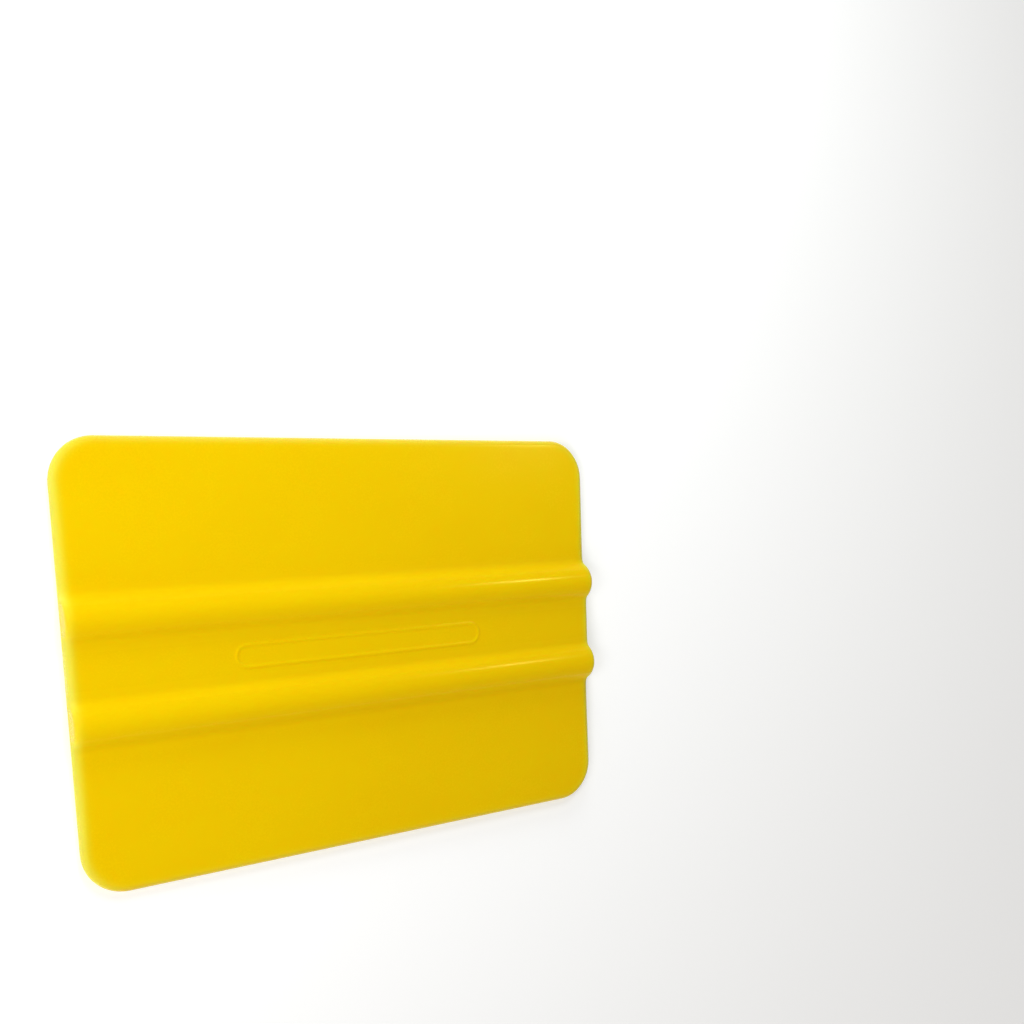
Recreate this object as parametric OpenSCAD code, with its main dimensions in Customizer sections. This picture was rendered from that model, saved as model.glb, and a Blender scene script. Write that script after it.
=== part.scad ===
// Hand applicator card for pressing down adhesive film. It is one moulded plate:
// two finger-grip ribs run across the front from side to side. The panel between
// them is thick, and outside them a thinner blade runs out to each fully rounded
// working edge. The card lies on its flat back, with X along the working edges,
// Y across them and Z out of the ribbed face.

/* [Card] */
// Length of the card along its working edges
card_w = 100; // [60:1:200]
// Distance between the two working edges
card_h = 70; // [50:1:120]
// Radius of the four corners in plan
corner_r = 7.1; // [3:0.1:15]
// Thickness of the panel between the ribs
panel_t = 2.8; // [2.6:0.1:3.4]
// Thickness of a blade where it leaves its rib
blade_t = 2.1; // [1.9:0.1:2.4]
// Thickness of a blade at its working edge
edge_t = 2; // [1.4:0.1:2.4]
// Flat strip left outside each rib before the blade starts to thin
shoulder_w = 0.5; // [0:0.1:3]

/* [Grip ribs] */
// Distance between the crests of the two ribs
rib_pitch = 15.8; // [15:0.1:24]
// Height of the crests above the back
rib_top = 4.7; // [4.4:0.1:5.4]
// Radius of a rib's rounded crown
crown_r = 3.6; // [2.6:0.1:4]
// Radius of the fillet between a crown and the panel
inner_fillet_r = 1.5; // [1.2:0.1:3]
// Radius of the fillet between a crown and the blade
outer_fillet_r = 1.5; // [1.2:0.1:3]
// Radius that rounds over the top of a rib at the side edges
rib_end_r = 0.9; // [0.4:0.1:1.2]

/* [Back relief] */
// Width of the shallow groove behind each rib
groove_w = 5; // [3:0.1:7]
// Depth of that groove
groove_depth = 0.45; // [0.2:0.05:0.6]

/* [Blank cartouche] */
// Length of the raised rim between the ribs
cartouche_l = 48; // [20:1:50]
// Height of the raised rim, across the card
cartouche_h = 4.6; // [3:0.1:4.6]
// Width of the rim itself
rim_w = 1; // [0.4:0.1:1.2]
// How far the rim stands out of the panel
rim_relief = 0.12; // [0.1:0.01:0.3]

/* [Hidden] */

// Segments of the round children that the hulls are stretched over
HULL_FN = 32;
// Depth by which touching surfaces are sunk into each other, so that they cross
SINK = 0.02;
// How far each rib stops short of the rounded side edges of the plate
RIB_INSET = 0.05;
// Height above the back at which ribs and rim are rooted in the plate
ROOT_Z = 1.2;
// Overshoot of the tools that cut material away
OVER = 1;
$fn = 96;

// Height of the centre of a crown's arc
crown_z = rib_top - crown_r;
// Heights at which the fillets end, sunk just below the faces that they meet
inner_foot_z = panel_t - SINK;
outer_foot_z = blade_t - SINK;
// How far the two feet of a rib lie from its crest
inner_foot = foot_reach(inner_foot_z, inner_fillet_r);
outer_foot = foot_reach(outer_foot_z, outer_fillet_r);
// Distance from mid-height to where a blade starts to thin
shoulder_y = rib_pitch / 2 + outer_foot + shoulder_w;
// Radius of a groove's round bottom
groove_r = (pow(groove_w / 2, 2) + pow(groove_depth, 2)) / (2 * groove_depth);

// Distance from the crest to the foot of a fillet that ends at height foot_z. The
// arcs of crown and fillet touch, so their centres lie the sum of the radii apart.
function foot_reach(foot_z, fillet_r) =
    sqrt(pow(crown_r + fillet_r, 2) - pow(foot_z + fillet_r - crown_z, 2));

// Ring with a round section: one corner of the plate, rounded over fully
module corner_ring() {
    translate([0, 0, edge_t / 2])
        rotate_extrude($fn = HULL_FN)
            translate([corner_r - edge_t / 2, 0])
                circle(d = edge_t, $fn = HULL_FN);
}

// Rod on the back plane that rounds a side edge of thickness t, from -reach to reach
module side_rod(t, reach) {
    translate([0, 0, t / 2])
        rotate([90, 0, 0])
            cylinder(d = t, h = 2 * reach, center = true, $fn = HULL_FN);
}

// Flat back, and a front that falls slightly from the ribs to the working edges
module blades() {
    hull() {
        for (x = [-1, 1], y = [-1, 1])
            translate([x * (card_w / 2 - corner_r), y * (card_h / 2 - corner_r), 0])
                corner_ring();
        for (x = [-1, 1])
            translate([x * (card_w - blade_t) / 2, 0, 0])
                side_rod(blade_t, shoulder_y);
    }
}

// Thick panel whose two long edges are buried in the ribs
module panel() {
    hull()
        for (x = [-1, 1])
            translate([x * (card_w - panel_t) / 2, 0, 0])
                side_rod(panel_t, rib_pitch / 2);
}

// Solid under the fillet on the +X side of a crown whose crest is on the Y axis
module fillet_section(reach, foot_z, fillet_r) {
    centre_z = foot_z + fillet_r;
    joint_z = centre_z - fillet_r * (centre_z - crown_z) / (crown_r + fillet_r);
    difference() {
        translate([0, ROOT_Z])
            square([reach, joint_z - ROOT_Z]);
        translate([reach, centre_z])
            circle(r = fillet_r);
    }
}

// Cross-section of a rib with its crest on the Y axis and the blade towards +X
module rib_section() {
    inner_joint = inner_foot * crown_r / (crown_r + inner_fillet_r);
    outer_joint = outer_foot * crown_r / (crown_r + outer_fillet_r);
    fillet_section(outer_foot, outer_foot_z, outer_fillet_r);
    mirror([1, 0])
        fillet_section(inner_foot, inner_foot_z, inner_fillet_r);
    intersection() {
        translate([0, crown_z])
            circle(r = crown_r);
        translate([-inner_joint, ROOT_Z])
            square([inner_joint + outer_joint, rib_top]);
    }
}

// What is cut off the top of a rib's +X end to round it over
module rib_end_cutter() {
    rotate([90, 0, 0])
        linear_extrude(2 * max(inner_foot, outer_foot) + OVER, center = true)
            difference() {
                square(rib_end_r + OVER);
                circle(r = rib_end_r);
            }
}

// The rib at +Y, with its crest over the X axis
module rib() {
    length = card_w - 2 * RIB_INSET;
    arc_x = length / 2 - rib_end_r + SINK;
    difference() {
        translate([-length / 2, 0, 0])
            rotate([90, 0, 90])
                linear_extrude(length)
                    rib_section();
        for (end = [0, 1])
            mirror([end, 0, 0])
                translate([arc_x, 0, rib_top - rib_end_r])
                    rib_end_cutter();
    }
}

// Round-bottomed groove along the back, through both side edges
module groove() {
    translate([0, 0, groove_depth - groove_r])
        rotate([0, 90, 0])
            cylinder(r = groove_r, h = card_w + 2 * OVER, center = true);
}

// Slot-shaped outline, centred
module slot_outline(length, height) {
    square([length - height, height], center = true);
    for (side = [-1, 1])
        translate([side * (length - height) / 2, 0])
            circle(d = height);
}

// Raised rim round a blank field between the ribs
module cartouche() {
    translate([0, 0, ROOT_Z])
        linear_extrude(panel_t - ROOT_Z + rim_relief)
            difference() {
                slot_outline(cartouche_l, cartouche_h);
                slot_outline(cartouche_l - 2 * rim_w, cartouche_h - 2 * rim_w);
            }
}

// The whole moulding
module applicator_body() {
    color("gold")
        difference() {
            union() {
                blades();
                panel();
                cartouche();
                for (side = [0, 1])
                    mirror([0, side, 0])
                        translate([0, rib_pitch / 2, 0])
                            rib();
            }
            for (side = [-1, 1])
                translate([0, side * rib_pitch / 2, 0])
                    groove();
        }
}

applicator_body();
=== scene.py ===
"""Looks of the squeegee applicator: one moulded yellow card, lying on its back on a pale floor.

The card is meshed here in quads round the shape that the CAD model holds: a rounded rectangle
that thins towards two working edges, with two grip ribs, relief grooves behind them and a blank
raised rim between them. Lengths are in millimetres until the mesh is made, and the overall
size comes from the CAD node's box.
"""
import math

import bpy
import numpy as np
from mathutils import Matrix, Vector


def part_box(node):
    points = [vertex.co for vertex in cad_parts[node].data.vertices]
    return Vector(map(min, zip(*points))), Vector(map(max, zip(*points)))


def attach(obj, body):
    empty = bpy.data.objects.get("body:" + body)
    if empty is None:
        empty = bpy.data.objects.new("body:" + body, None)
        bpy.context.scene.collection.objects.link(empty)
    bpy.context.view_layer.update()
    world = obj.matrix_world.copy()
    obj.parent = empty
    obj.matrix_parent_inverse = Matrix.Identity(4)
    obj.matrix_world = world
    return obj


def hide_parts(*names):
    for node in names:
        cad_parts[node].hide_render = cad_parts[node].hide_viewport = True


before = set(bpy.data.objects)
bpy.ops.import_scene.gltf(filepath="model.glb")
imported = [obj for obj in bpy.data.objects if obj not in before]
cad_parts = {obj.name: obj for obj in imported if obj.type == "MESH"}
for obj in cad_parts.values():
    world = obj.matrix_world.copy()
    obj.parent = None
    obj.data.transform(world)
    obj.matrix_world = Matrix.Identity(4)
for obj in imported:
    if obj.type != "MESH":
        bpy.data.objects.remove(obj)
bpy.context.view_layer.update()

MM = 0.001
NODE = "applicator_body"
low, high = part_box(NODE)

# The card, in millimetres. Width, height and full thickness are the CAD node's own.
CARD_W = (high.x - low.x) / MM
CARD_H = (high.y - low.y) / MM
RIB_TOP = (high.z - low.z) / MM
CORNER_R = 7.1
PANEL_T = 2.8
BLADE_T = 2.1
EDGE_T = 2.0
SHOULDER_W = 0.5
RIB_Y = 7.9
CROWN_R = 3.6
INNER_FILLET_R = 1.5
OUTER_FILLET_R = 1.5
RIB_END_R = 0.9
SIDE_ROUND_W = 1.65
SIDE_FADE = 16.0
GROOVE_W = 5.0
GROOVE_DEPTH = 0.45
RIM_LENGTH = 48.0
RIM_HEIGHT = 4.6
RIM_W = 1.0
RIM_RELIEF = 0.12

# Small marks that the mould leaves
SEAM_RISE = 0.03
PIN_PLACES = [(x, y) for x in (-34, 34) for y in (-21, 21)]
PIN_R = 2.5
PIN_DEPTH = 0.07
PIN_WALL = 0.25
GATE_R = 2.6
GATE_DEPTH = 0.3
GATE_WALL = 0.9
GATE_NUB_R = 0.7
GATE_NUB_RISE = 0.18
GATE_NUB_WALL = 0.25

# Worked out from those: a rib's crown, the feet of its fillets, and where they touch the crown
CROWN_Z = RIB_TOP - CROWN_R
INNER_FOOT = math.sqrt((CROWN_R + INNER_FILLET_R) ** 2 - (PANEL_T + INNER_FILLET_R - CROWN_Z) ** 2)
OUTER_FOOT = math.sqrt((CROWN_R + OUTER_FILLET_R) ** 2 - (BLADE_T + OUTER_FILLET_R - CROWN_Z) ** 2)
INNER_JOINT = INNER_FOOT * CROWN_R / (CROWN_R + INNER_FILLET_R)
OUTER_JOINT = OUTER_FOOT * CROWN_R / (CROWN_R + OUTER_FILLET_R)
SHOULDER_Y = RIB_Y + OUTER_FOOT + SHOULDER_W
THINNING = (BLADE_T - EDGE_T) / (CARD_H / 2 - SHOULDER_Y)
GROOVE_R = (GROOVE_W ** 2 / 4 + GROOVE_DEPTH ** 2) / (2 * GROOVE_DEPTH)
RIM_MID_R = (RIM_HEIGHT - RIM_W) / 2
RIM_END_X = (RIM_LENGTH - RIM_HEIGHT) / 2

# The mesh: a grid inside, and a band of rings that follows the outline
BAND = 3.0
INNER_R = CORNER_R - BAND
CORNER_X = CARD_W / 2 - CORNER_R
CORNER_Y = CARD_H / 2 - CORNER_R
CORNER_STEPS = 9
FLAT_RINGS = 5
ROUND_RINGS = 11
SEAM_REACH = 0.07

# How far apart the grid's lines lie at most, how far the finest ones go past the inside and
# the outside of the rim, and how far out a round mark bends them
FLAT_STEP = 1.8
SHOULDER_STEP = 0.5
MARK_STEP = 0.4
FIELD_STEP = 0.36
PANEL_STEP = 0.3
CROWN_STEP = 0.27
FILLET_STEP = 0.24
FINE_STEP = 0.1
RIM_MARGINS = (0.15, 0.05)
RIM_ZONE = 3.0
PIN_ZONE = 3.8

# What the mesh is painted with: bands along the outline for painted glow and painted shade, and the
# fade round the ribs' feet
RIM_GLOW_W = 2.6
WORKING_EDGE_GLOW = 0.3
RIB_GLOW_LOSS = 0.45
PAINTED_EDGE_SHADE_W = 1.3
FOOT_FADE = 0.6


def smooth_step(t):
    """0 below 0, 1 above 1, and a smooth rise between."""
    t = np.clip(t, 0.0, 1.0)
    return t * t * (3.0 - 2.0 * t)


def blade_height(y):
    """Height of a blade's front, carried on flat under the ribs and the panel."""
    return BLADE_T - THINNING * np.maximum(np.abs(y) - SHOULDER_Y, 0.0)


def arc(radius, off):
    """How far an arc of that radius reaches, off away from its middle."""
    return np.sqrt(np.maximum(radius ** 2 - off ** 2, 0.0))


def ribbed_height(y):
    """Height of panel, ribs and blades: each rib is a crown between two fillets."""
    off = np.abs(y) - RIB_Y
    crown = CROWN_Z + arc(CROWN_R, off)
    inner = PANEL_T + INNER_FILLET_R - arc(INNER_FILLET_R, off + INNER_FOOT)
    outer = BLADE_T + OUTER_FILLET_R - arc(OUTER_FILLET_R, off - OUTER_FOOT)
    stretches = [off < -INNER_FOOT, off < -INNER_JOINT, off < OUTER_JOINT, off < OUTER_FOOT]
    return np.select(stretches, [PANEL_T, inner, crown, outer], blade_height(y))


def rim_rise(x, y):
    """Height of the raised rim of the blank cartouche over the panel."""
    off = np.hypot(np.maximum(np.abs(x) - RIM_END_X, 0.0), y) - RIM_MID_R
    return RIM_RELIEF * smooth_step(1.0 - np.abs(off) / (RIM_W / 2))


def front_height(x, y):
    """Height of the ribbed front, inside the rounding of the edges."""
    return ribbed_height(y) + rim_rise(x, y)


def groove_height(y):
    """How far the groove behind a rib lifts the back off the floor."""
    return np.maximum(GROOVE_DEPTH - GROOVE_R + arc(GROOVE_R, np.abs(y) - RIB_Y), 0.0)


def back_height(x, y):
    """Height of the back: the grooves, the ejector pins' prints and the gate's dimple."""
    z = groove_height(y)
    for pin_x, pin_y in PIN_PLACES:
        away = np.hypot(x - pin_x, y - pin_y)
        z = z + PIN_DEPTH * smooth_step((PIN_R - away) / PIN_WALL)
    away = np.hypot(x, y)
    z = z + GATE_DEPTH * smooth_step((GATE_R - away) / GATE_WALL)
    return z - GATE_NUB_RISE * smooth_step((GATE_NUB_R - away) / GATE_NUB_WALL)


def steps(start, end, size):
    """Evenly spaced values after start, up to end, no further apart than size."""
    count = math.ceil((end - start) / size - 1e-9)
    return [start + (end - start) * (i + 1) / count for i in range(count)]


def half_lines(marks):
    """Values from 0 up, given as (end, size) stretches."""
    values = [0.0]
    for end, size in marks:
        values += steps(values[-1], end, size)
    return values


def both_ways(values):
    """A half row of grid lines and its mirror image."""
    return np.array([-v for v in values[:0:-1]] + values)


def rim_lines():
    """Stretches of grid lines out from the middle of the rim's height or of its round ends."""
    inside, outside = RIM_MARGINS
    return [
        (RIM_MID_R - RIM_W / 2 - inside, FIELD_STEP),
        (RIM_MID_R + RIM_W / 2 + outside, FINE_STEP),
        (RIM_ZONE, PANEL_STEP),
    ]


def pin_lines(centre):
    """Grid lines on both sides of a pin's centre, close together at the wall of its print."""
    stretches = [
        (PIN_R - 3 * FINE_STEP, MARK_STEP),
        (PIN_R + 2 * FINE_STEP, FINE_STEP),
        (PIN_ZONE, MARK_STEP),
    ]
    return list(centre + both_ways(half_lines(stretches)))


def row_values():
    """Where the grid's rows lie, from the middle of the card to its corner blocks."""
    pin_y = PIN_PLACES[-1][1]
    values = half_lines(rim_lines() + [
        (RIB_Y - INNER_FOOT, PANEL_STEP),
        (RIB_Y - INNER_JOINT, FILLET_STEP),
        (RIB_Y, CROWN_STEP),
        (RIB_Y + OUTER_JOINT, CROWN_STEP),
        (RIB_Y + OUTER_FOOT, FILLET_STEP),
        (SHOULDER_Y, SHOULDER_STEP),
        (pin_y - PIN_ZONE, FLAT_STEP),
    ])
    values += pin_lines(pin_y)[1:]
    return values + steps(values[-1], CORNER_Y, FLAT_STEP)


def column_values():
    """Where the grid's columns lie, from the middle of the card to its corner blocks."""
    pin_x = PIN_PLACES[-1][0]
    values = half_lines(rim_lines() + [(RIM_END_X, FLAT_STEP)])
    values += [RIM_END_X + v for v in half_lines(rim_lines())[1:]]
    values += steps(values[-1], pin_x - PIN_ZONE, FLAT_STEP)
    values += pin_lines(pin_x)[1:]
    return values + steps(values[-1], CORNER_X, FLAT_STEP)


def to_circle(x, y):
    """Moves points on a square round the origin to the circle inside it."""
    side = np.maximum(np.maximum(np.abs(x), np.abs(y)), 1e-12)
    u, v = x / side, y / side
    return side * u * np.sqrt(1 - v * v / 2), side * v * np.sqrt(1 - u * u / 2)


def round_off(x, y, centre, full, zone):
    """Bends the grid lines round a mark into circles, out to full, and back to squares at zone."""
    dx, dy = x - centre[0], y - centre[1]
    side = np.maximum(np.abs(dx), np.abs(dy))
    share = 1.0 - smooth_step((side - full) / (zone - full))
    round_x, round_y = to_circle(dx, dy)
    return x + share * (round_x - dx), y + share * (round_y - dy)


def corner_block(x, y):
    """Bends the four corner blocks of the grid into quarter discs."""
    u = np.maximum(np.abs(x) - CORNER_X, 0.0) / INNER_R
    v = np.maximum(np.abs(y) - CORNER_Y, 0.0) / INNER_R
    inside = (u > 0) & (v > 0)
    disc_x = np.sign(x) * (CORNER_X + INNER_R * u * np.sqrt(1 - v * v / 2))
    disc_y = np.sign(y) * (CORNER_Y + INNER_R * v * np.sqrt(1 - u * u / 2))
    return np.where(inside, disc_x, x), np.where(inside, disc_y, y)


def plan_grids():
    """Plan positions of the grid inside the band, once for the front and once for the back."""
    columns = column_values()
    rows = row_values()
    columns += steps(CORNER_X, CORNER_X + INNER_R, INNER_R / CORNER_STEPS)
    rows += steps(CORNER_Y, CORNER_Y + INNER_R, INNER_R / CORNER_STEPS)
    x, y = np.meshgrid(both_ways(columns), both_ways(rows))
    block_x, block_y = corner_block(x, y)
    front_x, front_y = block_x.copy(), block_y.copy()
    for end_x in (-RIM_END_X, RIM_END_X):
        beyond = x * np.sign(end_x) > RIM_END_X
        bent_x, bent_y = round_off(front_x, front_y, (end_x, 0), RIM_HEIGHT / 2, RIM_ZONE)
        front_x, front_y = np.where(beyond, bent_x, front_x), np.where(beyond, bent_y, front_y)
    back_x, back_y = round_off(block_x, block_y, (0, 0), GATE_R, RIM_ZONE)
    for place in PIN_PLACES:
        back_x, back_y = round_off(back_x, back_y, place, PIN_R, PIN_ZONE)
    return (front_x, front_y), (back_x, back_y)


def outer_loop(shape):
    """Row and column numbers round the edge of a grid, anticlockwise from above."""
    last_row, last_column = shape[0] - 1, shape[1] - 1
    places = [(0, c) for c in range(last_column)]
    places += [(r, last_column) for r in range(last_row)]
    places += [(last_row, c) for c in range(last_column, 0, -1)]
    places += [(r, 0) for r in range(last_row, 0, -1)]
    return np.array(places).T


def outward(x, y):
    """Unit directions in plan from the band's inner edge to the outline."""
    u = np.sign(x) * np.maximum(np.abs(x) - CORNER_X, 0.0)
    v = np.sign(y) * np.maximum(np.abs(y) - CORNER_Y, 0.0)
    flat_x = np.abs(x) > CORNER_X + INNER_R - 1e-6
    flat_y = np.abs(y) > CORNER_Y + INNER_R - 1e-6
    u, v = np.where(flat_y, 0.0, u), np.where(flat_x, 0.0, v)
    size = np.hypot(u, v)
    return u / size, v / size


def rib_share(z):
    """0 up to the panel's height, rising to 1 at the crests."""
    return np.clip((z - PANEL_T) / (RIB_TOP - PANEL_T), 0.0, 1.0)


def front_reach(x, y, radius):
    """How far in the front's rounding reaches: widest on the sides, just outside the ribs."""
    beyond = np.abs(y) - RIB_Y - OUTER_FOOT
    rise, fall = smooth_step(1.0 + beyond / OUTER_FOOT), smooth_step(1.0 - beyond / SIDE_FADE)
    share = np.minimum(rise, fall)
    on_side = np.abs(x) > CARD_W / 2 - CORNER_R
    return radius + np.where(on_side, share, 0.0) * (SIDE_ROUND_W - radius)


def edge_ring(step, reach, radius, wall):
    """How far in from the outline a ring lies, and how far under the surface, at each point."""
    if step <= FLAT_RINGS:
        return BAND + (reach - BAND) * step / FLAT_RINGS, 0.0 * radius
    whole = radius * math.pi / 2 + wall
    part = (step - FLAT_RINGS) / ROUND_RINGS
    along = np.minimum(whole * part, whole - (SEAM_REACH if part < 1 else 0.0))
    turn = np.minimum(along / radius, math.pi / 2)
    drop = radius * (1 - np.cos(turn)) + np.maximum(along - radius * math.pi / 2, 0.0)
    return reach * (1 - np.sin(turn)), drop


def edge_section(rim_x, rim_y):
    """The edge at each point of the outline: radii over the front and the back, how far in the
    front's rounding reaches, and the height of the straight wall between front and seam."""
    seam_z = blade_height(rim_y) / 2
    surface = ribbed_height(rim_y)
    front_r = seam_z + (RIB_END_R - seam_z) * rib_share(surface)
    back_r = seam_z - groove_height(rim_y)
    return front_r, back_r, front_reach(rim_x, rim_y, front_r), surface - seam_z - front_r


def build_card():
    """The card's mesh: front grid, rings over the edge, back grid, all in quads."""
    front, back = plan_grids()
    shape = front[0].shape
    loop = outer_loop(shape)
    loop_x, loop_y = front[0][tuple(loop)], front[1][tuple(loop)]
    out_x, out_y = outward(loop_x, loop_y)
    rim_x, rim_y = loop_x + BAND * out_x, loop_y + BAND * out_y
    front_r, back_r, reach, wall = edge_section(rim_x, rim_y)

    points = [np.column_stack([front[0].ravel(), front[1].ravel(), front_height(*front).ravel()])]
    count = front[0].size
    numbers = np.arange(count).reshape(shape)
    loops = [numbers[tuple(loop)]]

    def add_ring(inset, height, drop):
        nonlocal count
        x, y = rim_x - inset * out_x, rim_y - inset * out_y
        points.append(np.column_stack([x, y, height(x, y) + drop]))
        loops.append(count + np.arange(len(x)))
        count += len(x)

    last = FLAT_RINGS + ROUND_RINGS
    for step in range(1, last + 1):
        inset, drop = edge_ring(step, reach, front_r, wall)
        add_ring(inset + (SEAM_RISE if step < last else 0.0), front_height, -drop)
    for step in range(last - 1, 0, -1):
        inset, drop = edge_ring(step, back_r, back_r, 0.0 * wall)
        add_ring(inset + SEAM_RISE, back_height, drop)
    points.append(np.column_stack([back[0].ravel(), back[1].ravel(), back_height(*back).ravel()]))
    back_numbers = count + numbers
    loops.append(back_numbers[tuple(loop)])

    faces = grid_faces(numbers) + grid_faces(back_numbers[:, ::-1])
    for inner, outer in zip(loops, loops[1:]):
        faces += ring_faces(inner, outer)
    return np.concatenate(points), faces


def grid_faces(numbers):
    """Quads between neighbouring rows and columns."""
    a, b = numbers[:-1, :-1].ravel(), numbers[:-1, 1:].ravel()
    c, d = numbers[1:, 1:].ravel(), numbers[1:, :-1].ravel()
    return np.column_stack([a, b, c, d]).tolist()


def ring_faces(inner, outer):
    """Quads between two loops of the same length."""
    a, b = inner, outer
    return np.column_stack([a, b, np.roll(b, -1), np.roll(a, -1)]).tolist()


def outline_distance(x, y):
    """How far inside the outline a point lies in plan."""
    u, v = np.abs(x) - CORNER_X, np.abs(y) - CORNER_Y
    beyond = np.hypot(np.maximum(u, 0.0), np.maximum(v, 0.0))
    return CORNER_R - beyond - np.minimum(np.maximum(u, v), 0.0)


def side_share(x):
    """0 along the working edges, rising round the corners to 1 on the side edges."""
    return np.maximum(np.abs(x) - CORNER_X, 0.0) / CORNER_R


def painted_edge_glow(x, y):
    """Painted glow in the colour near the outline, standing in for light through the thin plastic:
    most on the sides, least in the thick ribs.
    """
    share = WORKING_EDGE_GLOW + (1.0 - WORKING_EDGE_GLOW) * side_share(x)
    share = share * (1.0 - RIB_GLOW_LOSS * rib_share(ribbed_height(y)))
    return smooth_step(1.0 - outline_distance(x, y) / RIM_GLOW_W) * share


def painted_working_edge_shade(x, y):
    """Painted shade: how far the colour turns darker and more olive, only along the two working
    edges.
    """
    return smooth_step(1.0 - outline_distance(x, y) / PAINTED_EDGE_SHADE_W) * (1.0 - side_share(x))


def foot_share(y):
    """1 in the fillets at the feet of the ribs, 0 on crowns and flats."""
    off = np.abs(np.abs(y) - RIB_Y)
    joint, foot = min(INNER_JOINT, OUTER_JOINT), max(INNER_FOOT, OUTER_FOOT)
    past_joint = smooth_step(1.0 + (off - joint) / FOOT_FADE)
    return past_joint * smooth_step(1.0 + (foot - off) / FOOT_FADE)


def paint(mesh, name, values):
    """Stores one number for each point of the mesh, for the material to read."""
    layer = mesh.attributes.new(name, "FLOAT", "POINT")
    layer.data.foreach_set("value", values.astype(np.float32))


def make_card():
    """The card as an object, smooth shaded, riding on the one body."""
    points, faces = build_card()
    x, y, z = points.T
    bottom_centre = np.array([(low.x + high.x) / 2, (low.y + high.y) / 2, low.z])
    mesh = bpy.data.meshes.new("card")
    mesh.from_pydata((points * MM + bottom_centre).tolist(), [], faces)
    mesh.validate()
    mesh.polygons.foreach_set("use_smooth", [True] * len(mesh.polygons))
    # Painted glow near the outline, for the colour to carry
    paint(mesh, "rim", painted_edge_glow(x, y))
    # Painted shade along the working edges, for the colour to carry
    paint(mesh, "painted_edge_shade", painted_working_edge_shade(x, y))
    paint(mesh, "crest", smooth_step(rib_share(z) * 2.0 - 1.0))
    paint(mesh, "foot", foot_share(y))
    card = bpy.data.objects.new("card", mesh)
    bpy.context.scene.collection.objects.link(card)
    return card


card = make_card()
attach(card, "root")
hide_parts(NODE)


# The camera: where it is in millimetres, which way it looks, and its upward side
CAMERA_PLACE = (-95.9, 19.35, 179.5)
CAMERA_AHEAD = (0.578, -0.125, -0.806)
CAMERA_UP = (0.104, 0.991, -0.079)
CAMERA_LENS = 40.8
CAMERA_SHIFT_Y = 0.1557
SENSOR_W = 36.0
NEAREST, FARTHEST = 0.01, 20.0


def make_camera():
    """The camera, at the picture's viewing angle."""
    data = bpy.data.cameras.new("camera")
    data.sensor_width = SENSOR_W
    data.lens = CAMERA_LENS
    data.shift_y = CAMERA_SHIFT_Y
    data.clip_start = NEAREST
    data.clip_end = FARTHEST
    camera = bpy.data.objects.new("camera", data)
    bpy.context.scene.collection.objects.link(camera)
    ahead = Vector(CAMERA_AHEAD).normalized()
    right = ahead.cross(Vector(CAMERA_UP)).normalized()
    turn = Matrix((right, right.cross(ahead), -ahead)).transposed().to_4x4()
    camera.matrix_world = Matrix.Translation(Vector(CAMERA_PLACE) * MM) @ turn
    bpy.context.scene.camera = camera


make_camera()


class Nodes:
    """Adds shader nodes to one material and links them as they are made."""

    def __init__(self, material):
        material.use_nodes = True
        self.tree = material.node_tree
        self.bsdf = self.tree.nodes["Principled BSDF"]

    def add(self, kind, inputs=None, **settings):
        """A node of that kind. An input given as a socket is linked, any other is a value."""
        node = self.tree.nodes.new(kind)
        for name, value in settings.items():
            setattr(node, name, value)
        for name, value in (inputs or {}).items():
            self.put(node, name, value)
        return node

    def put(self, node, name, value):
        """Links or sets one input of a node."""
        if isinstance(value, bpy.types.NodeSocket):
            self.tree.links.new(value, node.inputs[name])
        else:
            node.inputs[name].default_value = value

    def millimetres(self, stretch=(1, 1, 1)):
        """Object coordinates in millimetres, shrunk along the axes that stretch is small on."""
        place = self.add("ShaderNodeTexCoord").outputs["Object"]
        scale = [1 / MM * part for part in stretch]
        return self.add("ShaderNodeMapping", {"Vector": place, "Scale": scale}).outputs["Vector"]

    def noise(self, grain, detail=2.0, stretch=(1, 1, 1)):
        """Noise between 0 and 1, with features about grain millimetres across."""
        inputs = {"Vector": self.millimetres(stretch), "Scale": 1 / grain, "Detail": detail}
        return self.add("ShaderNodeTexNoise", inputs).outputs["Fac"]

    def spread(self, value, start, end, first=0.0, last=1.0):
        """value from start to end turned into first to last, and held there outside."""
        inputs = {"Value": value, "From Min": start, "From Max": end}
        inputs.update({"To Min": first, "To Max": last})
        return self.add("ShaderNodeMapRange", inputs).outputs["Result"]

    def sum(self, a, b):
        """a + b."""
        return self.add("ShaderNodeMath", {0: a, 1: b}, operation="ADD").outputs[0]

    def product(self, a, b):
        """a times b."""
        return self.add("ShaderNodeMath", {0: a, 1: b}, operation="MULTIPLY").outputs[0]

    def blend(self, share, a, b):
        """Colour a where share is 0, b where it is 1."""
        inputs = {0: share, 6: a, 7: b}
        return self.add("ShaderNodeMix", inputs, data_type="RGBA").outputs[2]

    def painted(self, name):
        """The numbers that the mesh carries under that name."""
        return self.add("ShaderNodeAttribute", attribute_name=name).outputs["Fac"]

    def bump(self, height, depth_mm, under=None):
        """A bump of that depth over another."""
        inputs = {"Height": height, "Distance": depth_mm * MM, "Strength": 1.0}
        if under:
            inputs["Normal"] = under
        return self.add("ShaderNodeBump", inputs).outputs["Normal"]


# The plastic's colours: its body, painted lemon and pale glow for its thin edges, and painted shade
# for its working edges
YELLOW = (0.885, 0.602, 0.0008, 1)
YELLOW_DEEP = (0.878, 0.582, 0.0008, 1)
YELLOW_PAINTED_LEMON_GLOW = (0.82, 0.69, 0.008, 1)
YELLOW_PAINTED_PALE_GLOW = (0.79, 0.74, 0.10, 1)
YELLOW_PAINTED_EDGE_SHADE = (0.75, 0.585, 0.05, 1)

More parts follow.
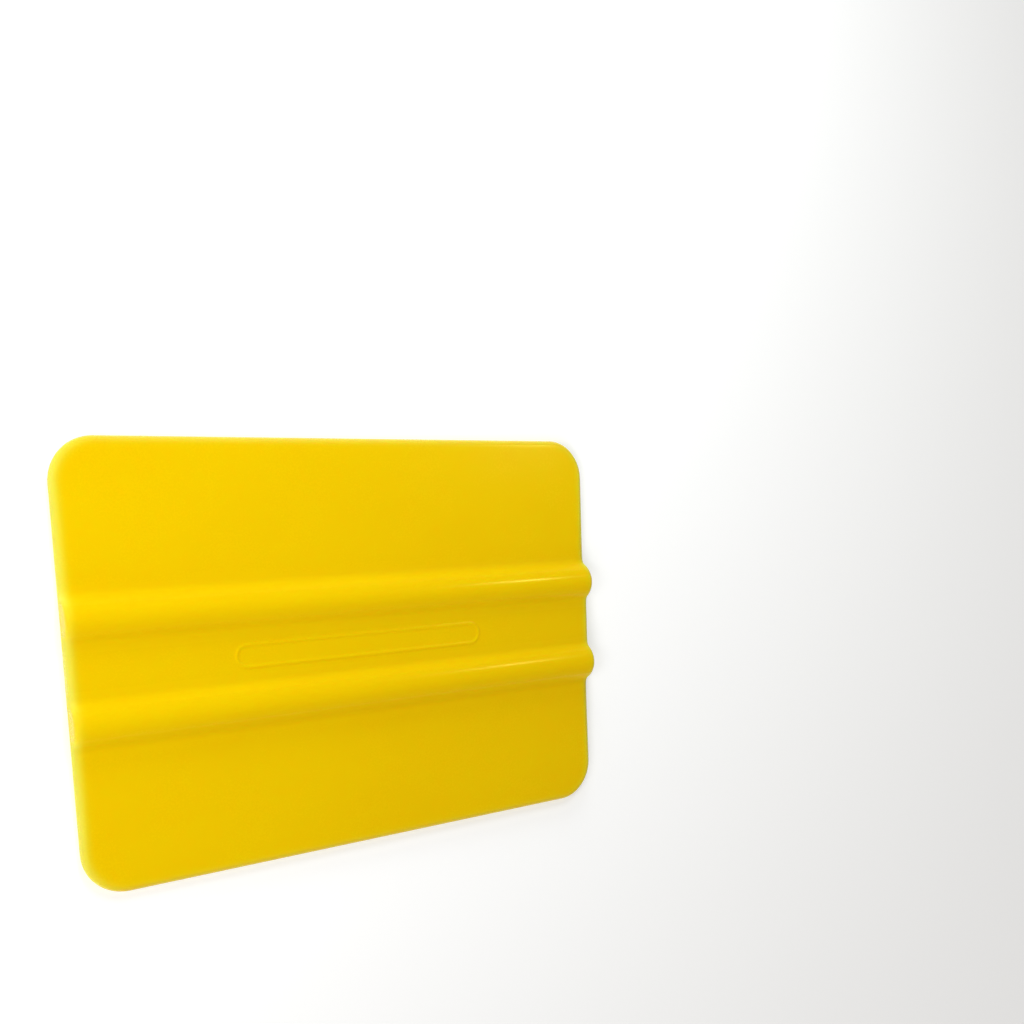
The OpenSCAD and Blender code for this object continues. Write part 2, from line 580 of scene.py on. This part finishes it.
# Size of the features of each pattern in it, in millimetres
FLOW_GRAIN = 16.0
PATCH_GRAIN = 9.0
ROUGHNESS_GRAIN = 0.35
HAIRLINE_GRAIN = 1.6
SCUFFED_GRAIN = 14.0
RIPPLE_GRAIN = 5.0
TEXTURE_GRAIN = 0.4

# Its roughness, and what each kind of place adds or takes away
SMOOTHEST, ROUGHEST = 0.23, 0.29
ROUGHNESS_SWING = 0.03
CREST_POLISH = 0.05
FOOT_DULLNESS = 0.35
SCUFF_DULLNESS = 0.12

# Its relief, in millimetres
RIPPLE_DEPTH = 0.035
TEXTURE_DEPTH = 0.0015
SCUFF_DEPTH = 0.003

# How it bends, mirrors and scatters light
IOR = 1.49
SPECULAR_LEVEL = 0.25
SPECULAR_TINT = (1.0, 0.85, 0.05, 1)
SCATTERED_SHARE = 0.35
SCATTER_RADII = (1.0, 0.3, 0.03)
SCATTER_SCALE = 2.5


def plastic_colour(nodes):
    """Yellow, a little deeper along the flow of the melt, with painted lemon and then pale glow
    towards the rim, and painted shade along the working edges.
    """
    flow = nodes.noise(FLOW_GRAIN, 3.0, stretch=(0.4, 1, 1))
    body = nodes.blend(nodes.spread(flow, 0.35, 0.65), YELLOW, YELLOW_DEEP)
    rim = nodes.painted("rim")
    # Painted lemon glow, then painted pale glow, towards the outline
    thin = nodes.blend(rim, body, YELLOW_PAINTED_LEMON_GLOW)
    pale = nodes.blend(nodes.product(rim, nodes.product(rim, rim)), thin, YELLOW_PAINTED_PALE_GLOW)
    # Painted shade along the working edges
    return nodes.blend(nodes.painted("painted_edge_shade"), pale, YELLOW_PAINTED_EDGE_SHADE)


def plastic_roughness(nodes, scuffs):
    """Semi-gloss, patchy from the mould, polished on the crests, dull in the fillets and scuffs."""
    patches = nodes.spread(nodes.noise(PATCH_GRAIN, 3.0), 0.3, 0.7, SMOOTHEST, ROUGHEST)
    grain = nodes.noise(ROUGHNESS_GRAIN)
    grain = nodes.spread(grain, 0.3, 0.7, -ROUGHNESS_SWING, ROUGHNESS_SWING)
    polish = nodes.product(nodes.painted("crest"), -CREST_POLISH)
    dull_feet = nodes.product(nodes.painted("foot"), FOOT_DULLNESS)
    dulled = nodes.sum(dull_feet, nodes.product(scuffs, SCUFF_DULLNESS))
    return nodes.sum(nodes.sum(patches, grain), nodes.sum(polish, dulled))


def hairlines(nodes):
    """A few hair-thin rubs, mostly across the card, the way it is pulled."""
    lines = nodes.noise(HAIRLINE_GRAIN, stretch=(6, 0.16, 1))
    places = nodes.noise(SCUFFED_GRAIN)
    return nodes.product(nodes.spread(lines, 0.70, 0.74), nodes.spread(places, 0.5, 0.62))


def plastic_relief(nodes, scuffs):
    """The mould's fine texture, long soft ripples where the melt shrank, and the hairlines."""
    ripples = nodes.bump(nodes.noise(RIPPLE_GRAIN, stretch=(0.25, 1, 1)), RIPPLE_DEPTH)
    texture = nodes.bump(nodes.noise(TEXTURE_GRAIN), TEXTURE_DEPTH, ripples)
    return nodes.bump(scuffs, -SCUFF_DEPTH, texture)


def make_plastic():
    """Moulded polypropylene: light goes a short way in and comes out warmer."""
    material = bpy.data.materials.new("yellow_plastic")
    nodes = Nodes(material)
    scuffs = hairlines(nodes)
    nodes.put(nodes.bsdf, "Base Color", plastic_colour(nodes))
    nodes.put(nodes.bsdf, "Roughness", plastic_roughness(nodes, scuffs))
    nodes.put(nodes.bsdf, "Normal", plastic_relief(nodes, scuffs))
    nodes.put(nodes.bsdf, "IOR", IOR)
    nodes.put(nodes.bsdf, "Specular IOR Level", SPECULAR_LEVEL)
    nodes.put(nodes.bsdf, "Specular Tint", SPECULAR_TINT)
    nodes.put(nodes.bsdf, "Subsurface Weight", SCATTERED_SHARE)
    nodes.put(nodes.bsdf, "Subsurface Radius", SCATTER_RADII)
    nodes.put(nodes.bsdf, "Subsurface Scale", SCATTER_SCALE * MM)
    return material


card.data.materials.append(make_plastic())


WHITE = (1, 1, 1)
COOL = (0.94, 1, 1)
WARM = (1, 0.965, 0.93)

# Half the floor's width in metres, how far it lies under the card in millimetres, and its look
FLOOR_REACH = 3.0
FLOOR_GAP = 0.02
FLOOR_COLOUR = (0.8, 0.8, 0.8, 1)
FLOOR_ROUGHNESS = 0.9
FLOOR_GLOW = 0.35


def make_floor():
    """A plain pale floor that glows a little, like a light table, and is clear from below."""
    turns = [(-1, -1), (1, -1), (1, 1), (-1, 1)]
    corners = [(x * FLOOR_REACH, y * FLOOR_REACH, 0) for x, y in turns]
    mesh = bpy.data.meshes.new("floor")
    mesh.from_pydata(corners, [], [(0, 1, 2, 3)])
    material = bpy.data.materials.new("floor")
    nodes = Nodes(material)
    nodes.put(nodes.bsdf, "Base Color", FLOOR_COLOUR)
    nodes.put(nodes.bsdf, "Roughness", FLOOR_ROUGHNESS)
    nodes.put(nodes.bsdf, "Emission Color", (*WHITE, 1))
    nodes.put(nodes.bsdf, "Emission Strength", FLOOR_GLOW)
    below = nodes.add("ShaderNodeNewGeometry").outputs["Backfacing"]
    clear = nodes.add("ShaderNodeBsdfTransparent").outputs["BSDF"]
    sides = nodes.add("ShaderNodeMixShader", {0: below, 1: nodes.bsdf.outputs["BSDF"], 2: clear})
    nodes.put(nodes.tree.nodes["Material Output"], "Surface", sides.outputs["Shader"])
    mesh.materials.append(material)
    floor = bpy.data.objects.new("floor", mesh)
    floor.location.z = -FLOOR_GAP * MM
    bpy.context.scene.collection.objects.link(floor)


def make_lamp(name, place, size, strength, colour, mirrored=False):
    """A disc lamp that faces the card, with place and size in metres. It lights the card, or
    only shows in the card's gloss. Its strength is how bright a white sheet facing it looks."""
    place = Vector(place)
    data = bpy.data.lights.new(name, "AREA")
    data.shape = "DISK"
    data.size = size
    data.energy = strength * math.pi ** 2 * place.length_squared
    data.color = colour
    lamp = bpy.data.objects.new(name, data)
    bpy.context.scene.collection.objects.link(lamp)
    lamp.location = place
    lamp.visible_glossy = mirrored
    lamp.visible_diffuse = not mirrored
    lamp.rotation_mode = "QUATERNION"
    lamp.rotation_quaternion = (-place).to_track_quat("-Z", "Y")


def make_surroundings(strength, backdrop):
    """Dim warm surroundings, in front of which a pale backdrop is seen above the floor."""
    world = bpy.data.worlds.new("surroundings")
    world.use_nodes = True
    nodes, links = world.node_tree.nodes, world.node_tree.links
    around = nodes["Background"]
    around.inputs["Color"].default_value = (*WARM, 1)
    around.inputs["Strength"].default_value = strength
    seen = nodes.new("ShaderNodeBackground")
    seen.inputs["Color"].default_value = (*WHITE, 1)
    seen.inputs["Strength"].default_value = backdrop
    mix = nodes.new("ShaderNodeMixShader")
    links.new(nodes.new("ShaderNodeLightPath").outputs["Is Camera Ray"], mix.inputs["Fac"])
    links.new(around.outputs["Background"], mix.inputs[1])
    links.new(seen.outputs["Background"], mix.inputs[2])
    links.new(mix.outputs["Shader"], nodes["World Output"].inputs["Surface"])
    bpy.context.scene.world = world


make_floor()
make_lamp("above", (0, 0.2, 0.2), 0.1, 0.30, COOL)
make_lamp("above_low", (-0.02, 0.24, 0.08), 0.1, 0.42, COOL)
make_lamp("left", (-0.16, 0, 0.14), 0.08, 0.33, WHITE)
make_lamp("far_left", (-1.16, -1.16, 1.15), 1.0, 0.28, WARM)
make_lamp("far_below", (0, -1.93, 0.52), 1.0, 0.18, WARM)
make_lamp("spark", (0.098, 0.053, 0.08), 0.012, 0.085, WHITE, mirrored=True)
make_surroundings(0.22, 0.85)
bpy.context.scene.view_settings.view_transform = "Standard"
